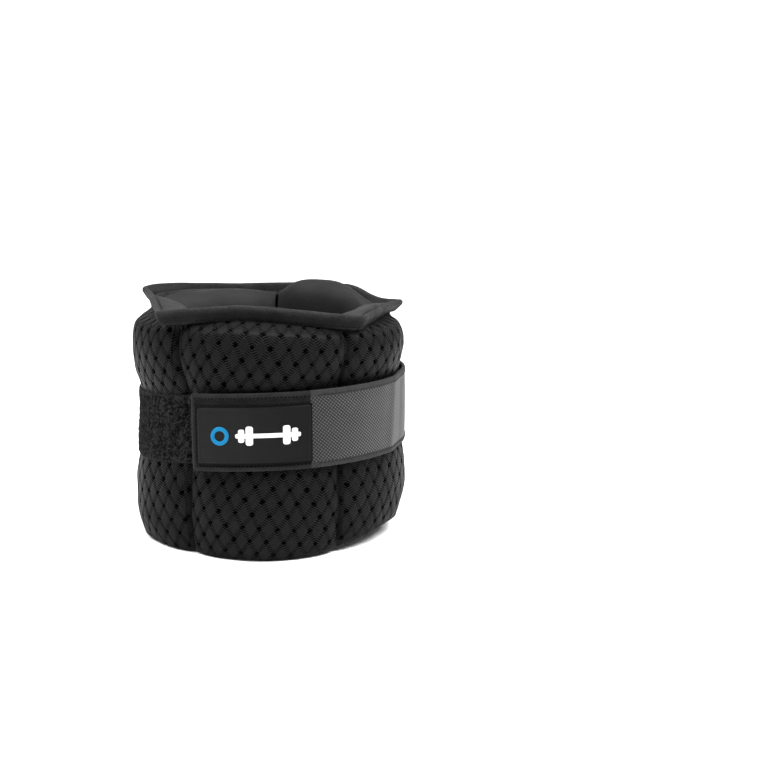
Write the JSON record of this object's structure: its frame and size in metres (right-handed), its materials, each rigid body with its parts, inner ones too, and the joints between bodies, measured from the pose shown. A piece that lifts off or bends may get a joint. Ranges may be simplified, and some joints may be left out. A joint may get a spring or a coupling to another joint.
{
  "type": "ankle cuff weight",
  "caption": "Wrap-round ankle weight: padded mesh panels holding bags of steel shot, with flapped inner pockets and a hook-and-loop strap with a label patch.",
  "frame": {"origin": "on the leg's axis, half way up the fastened cuff", "axes": "+Z along the leg towards the knee; the strap's label and the front panel face -Y"},
  "size_m": [0.141, 0.1405, 0.125],
  "materials": {
    "spacer_mesh": "black warp-knitted spacer mesh with open diamond holes",
    "edge_binding": "smooth folded black binding tape",
    "neoprene": "soft black foam rubber with a smooth knitted face",
    "bag_fabric": "tight black woven nylon",
    "steel_shot": "loose fine steel shot, matt grey",
    "loop_pile": "deep black brushed loop pile",
    "hook_tape": "fine black nylon hooks",
    "webbing": "dark grey twill webbing with bound edges",
    "label_rubber": "matt black moulded rubber",
    "thread": "black polyester thread"
  },
  "bodies": {
    "front_and_right": {"shell_front": "spacer_mesh", "binding_front": "edge_binding", "pocket_front": "neoprene", "weight_bag_front": "bag_fabric", "steel_shot_front": "steel_shot", "pocket_loop_front": "loop_pile", "shell_right": "spacer_mesh", "binding_right": "edge_binding", "pocket_right": "neoprene", "weight_bag_right": "bag_fabric", "steel_shot_right": "steel_shot", "pocket_loop_right": "loop_pile", "loop_band_front": "loop_pile", "loop_band_right": "loop_pile"},
    "left_panel": {"shell_left": "spacer_mesh", "binding_left": "edge_binding", "pocket_left": "neoprene", "weight_bag_left": "bag_fabric", "steel_shot_left": "steel_shot", "pocket_loop_left": "loop_pile", "loop_band_left": "loop_pile"},
    "back_left_panel": {"shell_back_left": "spacer_mesh", "binding_back_left": "edge_binding", "pocket_back_left": "neoprene", "weight_bag_back_left": "bag_fabric", "steel_shot_back_left": "steel_shot", "pocket_loop_back_left": "loop_pile", "loop_band_back_left": "loop_pile"},
    "back_right_panel": {"shell_back_right": "spacer_mesh", "binding_back_right": "edge_binding", "pocket_back_right": "neoprene", "weight_bag_back_right": "bag_fabric", "steel_shot_back_right": "steel_shot", "pocket_loop_back_right": "loop_pile", "strap_anchor": "webbing", "anchor_stitching": "thread"},
    "strap": {"strap_web": "webbing"},
    "strap_end": {"strap_tab": "webbing", "hook_pad": "hook_tape", "label_patch": "label_rubber"},
    "flap_front": {"flap_front": "neoprene", "flap_hook_front": "hook_tape"},
    "flap_right": {"flap_right": "neoprene", "flap_hook_right": "hook_tape"},
    "flap_back_right": {"flap_back_right": "neoprene", "flap_hook_back_right": "hook_tape"},
    "flap_back_left": {"flap_back_left": "neoprene", "flap_hook_back_left": "hook_tape"},
    "flap_left": {"flap_left": "neoprene", "flap_hook_left": "hook_tape"}
  },
  "joints": [
    {"name": "seam_front_left", "type": "hinge", "parent": "front_and_right", "child": "left_panel", "pos_m": [-0.0395, -0.05437, 0], "axis": [0, 0, 1], "range_deg": [0, 72]},
    {"name": "seam_back_left", "type": "hinge", "parent": "left_panel", "child": "back_left_panel", "pos_m": [-0.06391, 0.02077, 0], "axis": [0, 0, 1], "range_deg": [0, 12]},
    {"name": "seam_back_right", "type": "hinge", "parent": "back_left_panel", "child": "back_right_panel", "pos_m": [0, 0.0672, 0], "axis": [0, 0, 1], "range_deg": [0, 36]},
    {"name": "strap_lift", "type": "hinge", "parent": "back_right_panel", "child": "strap", "pos_m": [0.05028, 0.04856, 0], "axis": [0, 0, 1], "range_deg": [0, 120]},
    {"name": "tab_peel", "type": "hinge", "parent": "strap", "child": "strap_end", "pos_m": [0.02628, -0.06671, 0], "axis": [0, 0, 1], "range_deg": [0, 90]},
    {"name": "flap_front_open", "type": "hinge", "parent": "front_and_right", "child": "flap_front", "pos_m": [0, -0.0585, 0.0625], "axis": [1, 0, 0], "range_deg": [0, 150]},
    {"name": "flap_right_open", "type": "hinge", "parent": "front_and_right", "child": "flap_right", "pos_m": [0.05564, -0.01808, 0.0625], "axis": [0.309, 0.9511, 0], "range_deg": [0, 150]},
    {"name": "flap_back_right_open", "type": "hinge", "parent": "back_right_panel", "child": "flap_back_right", "pos_m": [0.03438, 0.04733, 0.0625], "axis": [-0.809, 0.5878, 0], "range_deg": [0, 150]},
    {"name": "flap_back_left_open", "type": "hinge", "parent": "back_left_panel", "child": "flap_back_left", "pos_m": [-0.03438, 0.04733, 0.0625], "axis": [-0.809, -0.5878, 0], "range_deg": [0, 150]},
    {"name": "flap_left_open", "type": "hinge", "parent": "left_panel", "child": "flap_left", "pos_m": [-0.05564, -0.01808, 0.0625], "axis": [0.309, -0.9511, 0], "range_deg": [0, 150]}
  ],
  "couplings": [
    {"joint": "seam_front_left", "follows": "strap_lift", "ratio": 0.6},
    {"joint": "seam_back_left", "follows": "strap_lift", "ratio": 0.1},
    {"joint": "seam_back_right", "follows": "strap_lift", "ratio": 0.3}
  ]
}
